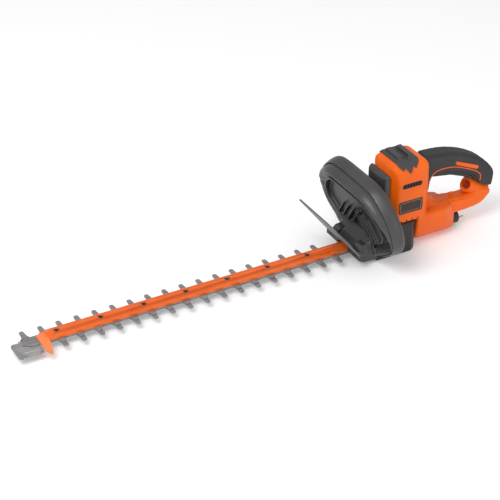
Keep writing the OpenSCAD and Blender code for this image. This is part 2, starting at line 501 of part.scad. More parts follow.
// ---------- trigger and electrics ----------
module rear_trigger() color([0.12, 0.12, 0.12]) difference() {
  union() {
    along_y(-7, 7) polygon([[99, 121], [108, 118], [144, 112], [172, 101], [184, 92], [190, 96], [184, 106], [172, 113],
      [146, 123], [112, 129.5], [106, 136], [100, 134]]);
    cyl_y(-7, 7, 104, 132, 4.5);
  }
  cyl_y(-20, 20, 104, 132, trig_pin_r + run_fit);
}
module trigger_pin() color(steel) cyl_y(-14.5, 14.5, 104, 132, trig_pin_r);
module trigger_spring() color(steel) translate([152, 0, 127.2]) for (i = [0:2]) translate([0, 0, 2*i]) rotate_extrude() translate([3, 0]) circle(r = 0.5, $fn = 13);
module main_switch() color([0.1, 0.1, 0.12]) { box(146, 172, -6, 6, 132.2, 143); }
inlet_z = 16;
module inlet_body() color([0.1, 0.1, 0.1]) difference() {
  union() { cyl_x(144.5, 149, 0, inlet_z, 12.5); cyl_x(148.2, 166, 0, inlet_z, 13.2); box(134, 144.8, -14, 14, 7, 25); }
  cyl_x(158, 170, 0, inlet_z, 12);
  for (s = [-1, 1]) cyl_x(130, 170, inlet_half*s, inlet_z, inlet_pin_r - 0.2);
}
pin_tip = 158 + inlet_pin_len;
module inlet_pins() color([0.8, 0.78, 0.72]) for (s = [-1, 1]) {
  cyl_x(130, pin_tip - bare_len, inlet_half*s, inlet_z, inlet_pin_r - 0.2);
  cyl_x(pin_tip - bare_len, pin_tip - 0.6, inlet_half*s, inlet_z, inlet_pin_r);
  translate([pin_tip - 0.6, inlet_half*s, inlet_z]) rotate([0, 90, 0]) cylinder(h = 0.6, r1 = inlet_pin_r, r2 = inlet_pin_r - 0.6);
}
module suppressor() color([0.85, 0.75, 0.2]) box(92, 116, -9, 9, 14, 30);
module housing_screws() color(steel) for (p = case_bosses) { cyl_y(-8.5, 14, p[0], p[1], 1.5); cyl_y(14, 16.5, p[0], p[1], 3); }

lower_blade();
upper_blade();
blade_bar();
blade_bolts();
blade_sleeves();
blade_washers();
blade_nuts();
guard_plate();
guard_screws();
front_handle_shell();
front_switch_lever();
lever_pivot_pins();
lever_spring();
front_switch();
front_collar();
gearcase_base();
gearcase_cover();
gearcase_screws();
dust_felts();
crank_shaft();
lower_eccentric();
upper_eccentric();
drive_gear();
crank_lower_bush();
crank_upper_bush();
armature_shaft();
motor_pinion();
armature_core();
commutator();
motor_fan();
stator_core();
field_coils();
motor_lower_bearing();
motor_upper_bearing();
brush_holders();
carbon_brushes();
brush_springs();
housing_left();
housing_right();
vent_cap();
vent_grilles();
name_plates();
grip_cover_left();
grip_cover_right();
grip_accents();
rear_trigger();
trigger_pin();
trigger_spring();
main_switch();
inlet_body();
inlet_pins();
suppressor();
housing_screws();
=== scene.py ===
import json
import math
import bpy
import bmesh
from mathutils import Matrix, Vector

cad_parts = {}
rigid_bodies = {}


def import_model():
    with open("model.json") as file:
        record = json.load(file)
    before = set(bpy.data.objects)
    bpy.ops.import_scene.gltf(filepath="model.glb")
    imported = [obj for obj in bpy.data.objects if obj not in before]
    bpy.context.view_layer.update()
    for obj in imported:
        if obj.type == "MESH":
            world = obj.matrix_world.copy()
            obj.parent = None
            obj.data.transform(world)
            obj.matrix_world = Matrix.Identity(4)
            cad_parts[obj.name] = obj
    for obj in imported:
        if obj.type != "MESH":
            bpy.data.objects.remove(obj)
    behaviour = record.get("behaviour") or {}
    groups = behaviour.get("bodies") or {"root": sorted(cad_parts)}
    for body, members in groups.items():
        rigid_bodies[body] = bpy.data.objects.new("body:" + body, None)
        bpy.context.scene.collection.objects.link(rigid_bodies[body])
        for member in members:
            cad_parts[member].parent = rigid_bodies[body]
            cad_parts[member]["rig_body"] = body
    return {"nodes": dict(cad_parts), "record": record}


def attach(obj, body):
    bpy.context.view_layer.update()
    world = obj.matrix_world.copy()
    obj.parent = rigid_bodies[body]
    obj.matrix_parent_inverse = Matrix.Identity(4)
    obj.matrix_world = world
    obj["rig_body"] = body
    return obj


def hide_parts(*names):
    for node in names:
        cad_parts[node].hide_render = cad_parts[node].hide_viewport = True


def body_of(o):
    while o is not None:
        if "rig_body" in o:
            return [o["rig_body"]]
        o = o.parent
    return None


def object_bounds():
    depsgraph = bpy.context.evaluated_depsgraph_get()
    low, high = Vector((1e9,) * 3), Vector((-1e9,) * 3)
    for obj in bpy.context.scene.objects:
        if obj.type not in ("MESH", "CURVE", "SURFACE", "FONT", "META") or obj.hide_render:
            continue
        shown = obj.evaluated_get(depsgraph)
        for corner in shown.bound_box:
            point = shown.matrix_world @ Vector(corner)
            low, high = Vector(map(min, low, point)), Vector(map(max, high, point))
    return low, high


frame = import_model()
cadLow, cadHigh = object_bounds()
nodes = frame["nodes"]
slotOf = {row["node"]: row["material_slot"] for row in frame["record"]["subparts"]}
mm = 0.001
print("frame loaded,", len(nodes), "nodes")

# camera, floor and light
studio = {
    "place": (-1.5489, -2.3166, 1.7361),
    "right": (0.87544, -0.48333, 0.0),
    "up": (0.2573, 0.4661, 0.8465),
    "back": (-0.40914, -0.74106, 0.53238),
    "lens": 129.06,
    "skyStrength": 0.66,
    "keyPlace": (-1.7, -0.7, 2.3), "keySize": 1.5, "keyPower": 44,
    "sidePlace": (0.6, -2.4, 1.0), "sideSize": 1.4, "sidePower": 9,
    "sensor": 36, "lightsAimAt": (0, 0, 0.05), "floorHalf": 6, "floorDrop": 0.0002,
}


def addLight(name, place, size, power):
    lamp = bpy.data.lights.new(name, "AREA")
    lamp.size = size
    lamp.energy = power
    holder = bpy.data.objects.new(name, lamp)
    bpy.context.scene.collection.objects.link(holder)
    holder.location = place
    aim = Vector(studio["lightsAimAt"]) - holder.location
    holder.rotation_euler = aim.to_track_quat("-Z", "Y").to_euler()


def setStudio():
    lens = bpy.data.cameras.new("trimmerCamera")
    lens.lens = studio["lens"]
    lens.sensor_width = studio["sensor"]
    camera = bpy.data.objects.new("trimmerCamera", lens)
    bpy.context.scene.collection.objects.link(camera)
    turn = Matrix((studio["right"], studio["up"], studio["back"])).transposed()
    camera.matrix_world = Matrix.Translation(studio["place"]) @ turn.to_4x4()
    bpy.context.scene.camera = camera
    sky = bpy.data.worlds.new("paleSky")
    sky.use_nodes = True
    sky.node_tree.nodes["Background"].inputs["Color"].default_value = (1, 1, 1, 1)
    sky.node_tree.nodes["Background"].inputs["Strength"].default_value = studio["skyStrength"]
    bpy.context.scene.world = sky
    addLight("keyLight", studio["keyPlace"], studio["keySize"], studio["keyPower"])
    addLight("sideLight", studio["sidePlace"], studio["sideSize"], studio["sidePower"])
    bpy.context.scene.view_settings.view_transform = "Standard"
    mesh = bpy.data.meshes.new("floor")
    bm = bmesh.new()
    bmesh.ops.create_grid(bm, x_segments=1, y_segments=1, size=studio["floorHalf"])
    bmesh.ops.translate(bm, verts=bm.verts, vec=(0, 0, cadLow.z - studio["floorDrop"]))
    bm.to_mesh(mesh)
    bm.free()
    floor = bpy.data.objects.new("floor", mesh)
    bpy.context.scene.collection.objects.link(floor)
    return floor


# finishes
texture = {
    "patchSpan": (0.35, 0.65), "edgeSpan": (0.53, 0.62), "edgeMost": 0.75, "edgeNoise": 140,
    "edgeBreak": (0.4, 0.62), "edgeLeast": 0.15, "roughPatches": 7, "roughSpan": (0.3, 0.7),
    "bumpStrength": 0.8, "floorGlow": 0.14,
}


def finish(name, colour, other, rough=(0.42, 0.56), patches=24, grain=1500, depth=0.00003, metal=0.0,
           specular=0.4, worn=None, stretch=(1, 1, 1), ribs=None):
    mat = bpy.data.materials.new(name)
    mat.use_nodes = True
    tree = mat.node_tree
    shader = tree.nodes["Principled BSDF"]
    shader.inputs["Metallic"].default_value = metal
    shader.inputs["Specular IOR Level"].default_value = specular
    place = tree.nodes.new("ShaderNodeTexCoord")
    turn = tree.nodes.new("ShaderNodeMapping")
    turn.inputs["Scale"].default_value = stretch
    tree.links.new(place.outputs["Object"], turn.inputs["Vector"])

    def noise(scale, detail):
        made = tree.nodes.new("ShaderNodeTexNoise")
        made.inputs["Scale"].default_value = scale
        made.inputs["Detail"].default_value = detail
        tree.links.new(turn.outputs["Vector"], made.inputs["Vector"])
        return made.outputs["Fac"]

    def spread(value, low, high, toLow, toHigh):
        made = tree.nodes.new("ShaderNodeMapRange")
        for key, number in (("From Min", low), ("From Max", high), ("To Min", toLow), ("To Max", toHigh)):
            made.inputs[key].default_value = number
        tree.links.new(value, made.inputs["Value"])
        return made.outputs["Result"]

    def math2(kind, a, b):
        made = tree.nodes.new("ShaderNodeMath")
        made.operation = kind
        for spot, value in ((0, a), (1, b)):
            if isinstance(value, (int, float)):
                made.inputs[spot].default_value = value
            else:
                tree.links.new(value, made.inputs[spot])
        return made.outputs[0]

    def mixed(amount, a, b):
        made = tree.nodes.new("ShaderNodeMix")
        made.data_type = "RGBA"
        tree.links.new(amount, made.inputs[0])
        for spot, value in ((6, a), (7, b)):
            if isinstance(value, tuple):
                made.inputs[spot].default_value = (*value, 1)
            else:
                tree.links.new(value, made.inputs[spot])
        return made.outputs[2]

    tint = mixed(spread(noise(patches, 3), *texture["patchSpan"], 0, 1), colour, other)
    if worn:  # rubbed edges, broken up by a little noise
        shape = tree.nodes.new("ShaderNodeNewGeometry")
        edge = spread(shape.outputs["Pointiness"], *texture["edgeSpan"], 0, texture["edgeMost"])
        broken = spread(noise(texture["edgeNoise"], 4), *texture["edgeBreak"], texture["edgeLeast"], 1)
        tint = mixed(math2("MULTIPLY", edge, broken), tint, worn)
    tree.links.new(tint, shader.inputs["Base Color"])
    dull = spread(noise(patches * texture["roughPatches"], 4), *texture["roughSpan"], *rough)
    tree.links.new(dull, shader.inputs["Roughness"])
    bump = tree.nodes.new("ShaderNodeBump")
    bump.inputs["Strength"].default_value = texture["bumpStrength"]
    bump.inputs["Distance"].default_value = depth
    height = noise(grain, 2)
    if ribs:  # fine moulded ribs where the palm rests
        band = tree.nodes.new("ShaderNodeTexWave")
        band.inputs["Scale"].default_value = ribs["scale"]
        tree.links.new(place.outputs["Object"], band.inputs["Vector"])
        part = tree.nodes.new("ShaderNodeSeparateXYZ")
        tree.links.new(place.outputs["Object"], part.inputs["Vector"])
        flat = math2("LESS_THAN", math2("ABSOLUTE", part.outputs["Y"], 0.0), ribs["halfWidth"])
        span = math2("MULTIPLY", math2("GREATER_THAN", part.outputs["X"], ribs["from"]),
                     math2("LESS_THAN", part.outputs["X"], ribs["to"]))
        height = math2("ADD", height, math2("MULTIPLY", math2("MULTIPLY", flat, span),
                                             math2("MULTIPLY", band.outputs["Fac"], ribs["height"])))
    tree.links.new(height, bump.inputs["Height"])
    tree.links.new(bump.outputs["Normal"], shader.inputs["Normal"])
    return mat


orangeBody = finish("orangeBody", (0.86, 0.130, 0.003), (0.80, 0.112, 0.002), rough=(0.36, 0.48),
                    depth=0.00002, specular=0.28, worn=(0.95, 0.21, 0.03))
orangeBar = finish("orangeBar", (0.80, 0.125, 0.005), (0.72, 0.100, 0.003), rough=(0.3, 0.44),
                   grain=420, depth=0.00003, worn=(0.85, 0.2, 0.05))
orangeTip = finish("orangeTip", (0.86, 0.22, 0.06), (0.78, 0.17, 0.04), rough=(0.34, 0.46), grain=420)
blackShell = finish("blackShell", (0.034, 0.034, 0.0345), (0.044, 0.044, 0.045), rough=(0.36, 0.47),
                    depth=0.00006, grain=1300, specular=0.6, worn=(0.1, 0.1, 0.102))
blackCase = finish("blackCase", (0.018, 0.018, 0.019), (0.026, 0.026, 0.027), rough=(0.42, 0.56),
                   depth=0.00006, worn=(0.06, 0.06, 0.062))
rubberGrip = finish("rubberGrip", (0.034, 0.034, 0.035), (0.042, 0.042, 0.043), rough=(0.56, 0.7),
                    depth=0.00008, grain=1000, specular=0.3,
                    ribs={"scale": 95, "halfWidth": 0.0075, "from": 0.135, "to": 0.215, "height": 7})
greyGuard = finish("greyGuard", (0.135, 0.135, 0.14), (0.115, 0.115, 0.12), rough=(0.4, 0.52),
                   depth=0.00004, worn=(0.3, 0.3, 0.3))
darkFlange = finish("darkFlange", (0.035, 0.035, 0.037), (0.045, 0.045, 0.047), rough=(0.42, 0.55),
                    depth=0.00005)
brushedBlade = finish("brushedBlade", (0.27, 0.26, 0.258), (0.19, 0.182, 0.184), rough=(0.34, 0.5),
                      metal=0.35, patches=60, grain=900, depth=0.00002, stretch=(0.25, 3, 1),
                      worn=(0.55, 0.54, 0.53))
darkFastener = finish("darkFastener", (0.07, 0.065, 0.06), (0.05, 0.045, 0.042), rough=(0.35, 0.5),
                      metal=0.8, patches=200, worn=(0.25, 0.24, 0.23))
paleSteel = finish("paleSteel", (0.45, 0.45, 0.46), (0.36, 0.36, 0.37), rough=(0.25, 0.4), metal=1.0,
                   patches=90)
sinteredSteel = finish("sinteredSteel", (0.25, 0.24, 0.23), (0.18, 0.175, 0.17), rough=(0.45, 0.6),
                       metal=0.9, grain=2500, depth=0.00004)
oilBronze = finish("oilBronze", (0.42, 0.25, 0.1), (0.33, 0.18, 0.07), rough=(0.3, 0.45), metal=1.0)
woundCopper = finish("woundCopper", (0.52, 0.2, 0.08), (0.42, 0.14, 0.05), rough=(0.28, 0.42),
                     metal=0.9, patches=120)
softFelt = finish("softFelt", (0.5, 0.46, 0.36), (0.38, 0.35, 0.27), rough=(0.85, 0.95), grain=700,
                  depth=0.0002)
pressedCarbon = finish("pressedCarbon", (0.03, 0.03, 0.03), (0.05, 0.05, 0.05), rough=(0.5, 0.65))
drawnBrass = finish("drawnBrass", (0.6, 0.42, 0.13), (0.5, 0.33, 0.09), rough=(0.28, 0.4), metal=1.0)
fanNylon = finish("fanNylon", (0.1, 0.1, 0.105), (0.13, 0.13, 0.135), rough=(0.4, 0.5))
platePlum = finish("platePlum", (0.022, 0.011, 0.008), (0.035, 0.017, 0.011), rough=(0.3, 0.42))
plateLine = finish("plateLine", (0.42, 0.27, 0.2), (0.34, 0.2, 0.15), rough=(0.4, 0.5))
nickelPin = finish("nickelPin", (0.62, 0.6, 0.55), (0.52, 0.5, 0.46), rough=(0.18, 0.3), metal=1.0,
                   patches=300)
filmCap = finish("filmCap", (0.55, 0.42, 0.06), (0.47, 0.34, 0.04), rough=(0.3, 0.4))
triggerBlack = finish("triggerBlack", (0.014, 0.014, 0.015), (0.02, 0.02, 0.021), rough=(0.38, 0.5),
                      depth=0.00005)
paleFloor = finish("paleFloor", (0.93, 0.93, 0.93), (0.91, 0.91, 0.915), rough=(0.75, 0.85), patches=1,
                   grain=60, depth=0.0001, specular=0.1)

finishFor = {
    "blade_steel": brushedBlade, "bar_paint": orangeBar, "fastener_steel": paleSteel,
    "guard_grey": greyGuard, "shell_black": blackShell, "case_black": blackCase,
    "housing_orange": orangeBody, "grip_rubber": rubberGrip, "trigger_black": triggerBlack,
    "machined_steel": paleSteel, "sintered_gear": sinteredSteel, "bronze": oilBronze,
    "copper": woundCopper, "felt": softFelt, "carbon": pressedCarbon, "brass": drawnBrass,
    "fan_nylon": fanNylon, "plate_dark": platePlum, "pin_nickel": nickelPin, "cap_film": filmCap,
}
glow = paleFloor.node_tree.nodes["Principled BSDF"].inputs
glow["Emission Color"].default_value = (1, 1, 1, 1)
glow["Emission Strength"].default_value = texture["floorGlow"]
print("finishes made")


# working meshes
def cadCopy(*names):
    bm = bmesh.new()
    for name in names:
        bm.from_mesh(nodes[name].data)
    bmesh.ops.remove_doubles(bm, verts=bm.verts, dist=0.000002)
    return bm


def cornersOf(*names):
    bm = cadCopy(*names)  # held until its points are copied
    corners = [v.co.copy() for v in bm.verts]
    bm.free()
    return corners


def joined(*parts):
    bm = bmesh.new()
    for part in parts:
        mesh = bpy.data.meshes.new("work")
        part.to_mesh(mesh)
        part.free()
        bm.from_mesh(mesh)
        bpy.data.meshes.remove(mesh)
    return bm


def workObject(bm):
    mesh = bpy.data.meshes.new("work")
    bm.to_mesh(mesh)
    bm.free()
    work = bpy.data.objects.new("work", mesh)
    bpy.context.scene.collection.objects.link(work)
    return work


def finished(work, *spare):
    shape = work.evaluated_get(bpy.context.evaluated_depsgraph_get())
    mesh = bpy.data.meshes.new_from_object(shape)
    bm = bmesh.new()
    bm.from_mesh(mesh)
    bpy.data.meshes.remove(mesh)
    for old in (work, *spare):
        oldMesh = old.data
        bpy.data.objects.remove(old)
        bpy.data.meshes.remove(oldMesh)
    return bm


def moulded(bm, voxel, rounds):  # one skin over everything, edges rounded by smoothing
    work = workObject(bm)
    skin = work.modifiers.new("skin", "REMESH")
    skin.mode = "VOXEL"
    skin.voxel_size = voxel * mm
    soft = work.modifiers.new("soft", "SMOOTH")
    soft.factor = 0.5
    soft.iterations = rounds
    return finished(work)


def shrunk(bm, wall):  # the same skin moved inwards, for hollowing
    work = workObject(bm)
    push = work.modifiers.new("push", "DISPLACE")
    push.strength = -wall * mm
    push.mid_level = 0
    return finished(work)


def combined(bm, other, how, solver="MANIFOLD"):
    work, tool = workObject(bm), workObject(other)
    cut = work.modifiers.new("cut", "BOOLEAN")
    cut.operation = how
    cut.object = tool
    cut.solver = solver
    return finished(work, tool)


def duplicate(bm):
    return bm.copy()


def block(x0, x1, y0, y1, z0, z1, bevel=0, along=None):
    bm = bmesh.new()
    bmesh.ops.create_cube(bm, size=1)
    size = Vector((x1 - x0, y1 - y0, z1 - z0)) * mm
    middle = Vector((x0 + x1, y0 + y1, z0 + z1)) * mm / 2
    bmesh.ops.transform(bm, matrix=Matrix.Translation(middle) @ Matrix.Diagonal((*size, 1)), verts=bm.verts)
    if bevel:
        edges = [e for e in bm.edges
                 if along is None or abs((e.verts[0].co - e.verts[1].co).normalized()[along]) > 0.9]
        bmesh.ops.bevel(bm, geom=edges, offset=bevel * mm, segments=6, profile=0.5, affect="EDGES",
                        material=-1)
    return bm


def rod(start, end, radius, sides=48):
    a, b = Vector(start) * mm, Vector(end) * mm
    bm = bmesh.new()
    bmesh.ops.create_cone(bm, cap_ends=True, segments=sides, radius1=radius * mm, radius2=radius * mm,
                          depth=(b - a).length)
    turn = (b - a).to_track_quat("Z", "Y").to_matrix().to_4x4()
    bmesh.ops.transform(bm, matrix=Matrix.Translation((a + b) / 2) @ turn, verts=bm.verts)
    return bm


def hullOf(points):
    bm = bmesh.new()
    made = [bm.verts.new(p) for p in points]
    out = bmesh.ops.convex_hull(bm, input=made)
    loose = {v for v in out["geom_interior"] + out["geom_unused"] if isinstance(v, bmesh.types.BMVert)}
    bmesh.ops.delete(bm, geom=[v for v in loose if v.is_valid], context="VERTS")
    bmesh.ops.delete(bm, geom=[v for v in bm.verts if not v.link_faces], context="VERTS")
    bmesh.ops.recalc_face_normals(bm, faces=bm.faces)
    return bm


def softened(points):  # each corner of an outline cut back once
    out = []
    for here, after in zip(points, points[1:] + points[:1]):
        out += [(here[0] * k + after[0] * (1 - k), here[1] * k + after[1] * (1 - k)) for k in (0.75, 0.25)]
    return out


def grown(points, gap):  # outlines run anticlockwise
    out = []
    for i, here in enumerate(points):
        before, after = points[i - 1], points[(i + 1) % len(points)]
        run = Vector((after[0] - before[0], after[1] - before[1])).normalized()
        out.append((here[0] + run.y * gap, here[1] - run.x * gap))
    return out


def prism(outline, half):  # a side outline given width across the tool
    bm = bmesh.new()
    face = bm.faces.new([bm.verts.new((x * mm, -half * mm, z * mm)) for x, z in outline])
    out = bmesh.ops.extrude_face_region(bm, geom=[face])
    moved = [v for v in out["geom"] if isinstance(v, bmesh.types.BMVert)]
    bmesh.ops.translate(bm, verts=moved, vec=(0, 2 * half * mm, 0))
    bmesh.ops.recalc_face_normals(bm, faces=bm.faces)
    return bm


def roundedEdges(bm, width, segments=2, longer=0.8, angle=25):
    bmesh.ops.dissolve_limit(bm, angle_limit=math.radians(0.5), verts=bm.verts, edges=bm.edges)
    edges = [e for e in bm.edges if len(e.link_faces) == 2 and e.calc_length() > longer * mm
             and e.calc_face_angle(0) > math.radians(angle)]
    bmesh.ops.bevel(bm, geom=edges, offset=width * mm, segments=segments, profile=0.5, affect="EDGES",
                    clamp_overlap=True, material=-1)
    return bm


def addPiece(name, bm, standsFor, mats, sharp=40):
    mesh = bpy.data.meshes.new(name)
    bm.to_mesh(mesh)
    bm.free()
    for mat in mats:
        mesh.materials.append(mat)
    mesh.shade_smooth()
    mesh.set_sharp_from_angle(angle=math.radians(sharp))
    piece = bpy.data.objects.new(name, mesh)
    bpy.context.scene.collection.objects.link(piece)
    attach(piece, body_of(nodes[standsFor[0]])[0])
    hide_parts(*standsFor)
    print("piece", name, len(mesh.polygons), "faces")
    return piece


floor = setStudio()
floor.data.materials.append(paleFloor)

# leaning hoop
hoop = {
    "lean": 10.8, "x": -38, "z": 26, "steps": 6,
    "half": [(0, 139.5), (45, 139.5), (66, 135.4), (84, 123), (100, 108), (112, 89.6), (119, 69), (118, 49),
             (108, 30.5), (88, 16.3), (62, 0), (46, -8)],
    "frontEdge": [(-20, -9), (5, -6), (15, -2), (35, 2), (50, -2), (75, -8), (100, -15), (120, -19),
                  (140, -22)],
    "parting": -5.2,
}


def hoopSpots():
    control = [Vector(p) for p in reversed(hoop["half"])] + [Vector((-a, w)) for a, w in hoop["half"][1:]]
    spots = []
    for i, here in enumerate(control):
        before, after = control[i - 1], control[(i + 1) % len(control)]
        for step in range(hoop["steps"]):
            s = step / hoop["steps"]
            spot = before * (0.5 * (1 - s) ** 2) + here * (0.5 + s - s * s) + after * (0.5 * s * s)
            run = ((here - before) * (1 - s) + (after - here) * s).normalized()
            spots.append((spot, Vector((run.y, -run.x))))
    return spots


def frontEdge(w):
    edge = hoop["frontEdge"]
    for (w0, u0), (w1, u1) in zip(edge, edge[1:]):
        if w <= w1:
            k = min(max((w - w0) / (w1 - w0), 0), 1)
            return u0 + (u1 - u0) * k * k * (3 - 2 * k)
    return edge[-1][1]


def onHoop(a, w, u):
    c, s = math.cos(math.radians(hoop["lean"])), math.sin(math.radians(hoop["lean"]))
    return Vector((hoop["x"] + u * c - w * s, a, hoop["z"] + u * s + w * c)) * mm


def loftedHoop(section):  # closed section swept round the hoop, one ring for each point of the section
    bm = bmesh.new()
    spots = hoopSpots()
    rings = []
    for gap, depth in section:
        ring = bmesh.ops.create_circle(bm, cap_ends=False, radius=1, segments=len(spots))["verts"]
        for vert, (spot, out) in zip(ring, spots):
            at = spot + out * gap
            vert.co = onHoop(at.x, at.y, depth(spot.y) if callable(depth) else depth)
        rings.append(list({e for v in ring for e in v.link_edges}))
    for here, after in zip(rings, rings[1:] + rings[:1]):
        bmesh.ops.bridge_loops(bm, edges=here + after)
    bmesh.ops.recalc_face_normals(bm, faces=bm.faces)
    return bm


def hoopPlug(gap, u0, u1):
    bm = bmesh.new()
    points = [spot + out * gap for spot, out in hoopSpots()]
    face = bm.faces.new([bm.verts.new(onHoop(p.x, p.y, u0)) for p in points])
    out = bmesh.ops.extrude_face_region(bm, geom=[face])
    bmesh.ops.translate(bm, verts=[v for v in out["geom"] if isinstance(v, bmesh.types.BMVert)],
                        vec=onHoop(0, 0, u1) - onHoop(0, 0, u0))
    bmesh.ops.recalc_face_normals(bm, faces=bm.faces)
    return bm


def toFront(share, swell=0.0):  # part of the way from the parting line to the front edge
    return lambda w: hoop["parting"] + (frontEdge(w) - hoop["parting"]) * share - swell


frontShell = {  # section points are the gap outside the hoop line and the depth behind its plane
    "voxel": 1.3, "rounds": 4, "webGap": -22.5, "webDepth": (-45, 13),
    "nose": (-92, -15, -56.5, 56.5, -2, 44), "pivot": (-40, 24), "pivotHalf": (40, 60), "pivotRadius": 3.05,
    "section": [(0, 12), (0, 3), (-0.2, hoop["parting"]), (-0.9, toFront(0.32, 1.2)),
                (-3.0, toFront(0.62, 2.0)), (-6.0, toFront(0.84, 2.0)), (-9.0, toFront(0.98, 1.2)),
                (-11.0, toFront(1.0, 0)), (-12.4, toFront(0.97, -2.0)), (-17.5, toFront(0.8, -4.5)),
                (-23.0, toFront(0.66, -6.5)), (-25.2, toFront(0.3, -6.5)), (-26.0, 4), (-26.0, 12),
                (-23.2, 12), (-22.6, toFront(0.3, -9.5)), (-17.0, toFront(0.72, -8.6)),
                (-11.5, toFront(0.85, -5.6)), (-5.5, toFront(0.6, -3.6)), (-2.8, toFront(0.2, -4.5)),
                (-2.8, 12)],
}


def makeFrontShell():
    shape = frontShell
    ring = loftedHoop(shape["section"])
    web = combined(cadCopy("front_handle_shell"), hoopPlug(shape["webGap"], *shape["webDepth"]), "INTERSECT")
    nose = combined(cadCopy("front_handle_shell"), block(*shape["nose"]), "INTERSECT")
    print("web", len(web.faces), "nose", len(nose.faces))
    shell = moulded(joined(ring, web, nose), shape["voxel"], shape["rounds"])
    x, z = shape["pivot"]
    for side in (-1, 1):  # seats for the lever pins
        seat = rod(*((x, side * y, z) for y in shape["pivotHalf"]), shape["pivotRadius"])
        shell = combined(shell, seat, "DIFFERENCE")
    addPiece("frontHandleShell", shell, ["front_handle_shell"], [blackShell], 60)


leverShape = {
    "voxel": 1.1, "rounds": 3, "pivot": (-40, 24), "earRadius": 6.5, "earHalf": (48, 52), "tieHalf": 74,
    "arm": (-23, -16, 36, 46), "tieLow": 38, "tieBevel": 1.5, "holeHalf": (44, 60), "holeRadius": 3.15,
    "openBelow": [(-140, 90, -170, 170, -60, 30), (-140, 90, -48, 48, -60, 64)],
    "section": [(1.1, -4.4), (2.3, -4.3), (3.5, -2.6), (4.9, 1.5), (6.3, 7), (7.0, 12), (6.4, 16.5),
                (4.2, 19.8), (0.5, 22), (-5, 23), (-14, 23.3), (-23, 22.8), (-27.6, 21), (-29.4, 17.5),
                (-29.4, 9), (-27.1, 8.6), (-27.1, 16.5), (-24, 19.6), (-14, 20.6), (-4, 20.4), (0, 18.6),
                (3.2, 15.4), (4.0, 11.5), (2.6, 3)],
}


def makeLever():
    shape = leverShape
    lever = loftedHoop(shape["section"])
    for room in shape["openBelow"]:
        lever = combined(lever, block(*room), "DIFFERENCE", "EXACT")
    x, z = shape["pivot"]
    front, rear, low, high = shape["arm"]
    for side in (-1, 1):
        y0, y1 = sorted(side * y for y in shape["earHalf"])
        y2 = side * shape["tieHalf"]
        ear = rod((x, y0, z), (x, y1, z), shape["earRadius"])
        arm = block(front, rear, y0, y1, low, high)
        ear = hullOf([v.co.copy() for v in ear.verts] + [v.co.copy() for v in arm.verts])
        arm.free()
        ends = sorted((side * shape["earHalf"][0], y2))
        tie = block(front, rear, *ends, shape["tieLow"], high, shape["tieBevel"])
        lever = joined(lever, ear, tie)
    lever = moulded(lever, shape["voxel"], shape["rounds"])
    for side in (-1, 1):
        hole = rod(*((x, side * y, z) for y in shape["holeHalf"]), shape["holeRadius"])
        lever = combined(lever, hole, "DIFFERENCE")
    addPiece("frontSwitchLever", lever, ["front_switch_lever"], [blackShell], 60)


makeFrontShell()
makeLever()

# motor housing, bulge, lower bar and grip core
body = {
    "voxel": 1.6, "rounds": 12, "wall": 2.7, "side": 42, "seam": 0.12,
    "gripHalf": 18, "cover": 3, "coverGap": 0.2,
    "towerEnd": 80.05, "towerLow": 61.9, "towerSkin": (1.9, 22),
    "bulgeEnds": (53.9, 148.05), "bulgeTop": 66.1, "bulgeSkin": (1.7, 26),
    "grip": [(74, 92), (94, 94), (96, 120), (108, 128), (144, 122), (176, 109), (192, 98), (200, 78),
             (232, 65), (238, 84), (238, 98), (228, 113), (208, 133), (177, 151), (144, 163), (112, 169),
             (74, 170)],
    "bar": [(74, 28), (140, 31), (186, 31.5), (210, 35), (225, 46), (236, 62), (204, 76), (190, 60),
            (140, 64), (104, 70), (92, 94), (74, 94)],
    "gripSteps": [(0, 9.2), (-5, 3.2)], "barSteps": [(0, 5), (-4, 0)],  # outline grown by, width taken off
    "triggerRoom": [(98, 112), (110, 112), (150, 100), (190, 88), (200, 96), (190, 122), (98, 142)],
    "triggerHalf": 7.5, "triggerPin": ((104, -30, 132), (104, 30, 132), 2.0),
    "screws": [(86, 106), (192, 130), (158, 45), (180, 43)],
    "postRadius": 4.4, "screwHole": (-9, 15, 1.5), "headHole": (14, 60, 3.15),
    "fin": (149, 156, -1.7, 1.7, 55, 70.5, 1.4),
    "cordFrom": (188, 76), "cordTilt": 30, "cordEnds": (-4, 43), "cordRadius": 15.5, "cordRim": 1.6,
    "cordHole": (-40, 80), "cordHoleHalf": 3.5, "cordHoleRadius": 8.2,
    "inletSteps": [(144, 152, 12.6), (148, 170, 13.9)], "inletHeight": 16,
    "capRoom": (14, 52, -24, 24, 166, 200, 2), "bearingRoom": ((40, 0, 58), (40, 0, 66), 26),
    "slot": (16, 58, 133, 143, 4.9), "slotDepth": 2.3, "slotFloor": (16, 58, 132.5, 143.5, 2.9, 0.35),
    "plateSeat": (10.5, 61, 82, 108, 3.6), "plateDepth": 1.05,
    "lowVents": 4, "ventStart": 15, "ventPitch": 12, "ventWidth": 3,
    "ventHalf": (36, 60), "ventHeight": (64, 68),
    "halfRoom": (-30, 270, -90, 90, -20, 270),
}


def alongCord(distance, across=0):
    tilt = math.radians(90 + body["cordTilt"])
    x, z = body["cordFrom"]
    return (x + distance * math.sin(tilt), across, z + distance * math.cos(tilt))


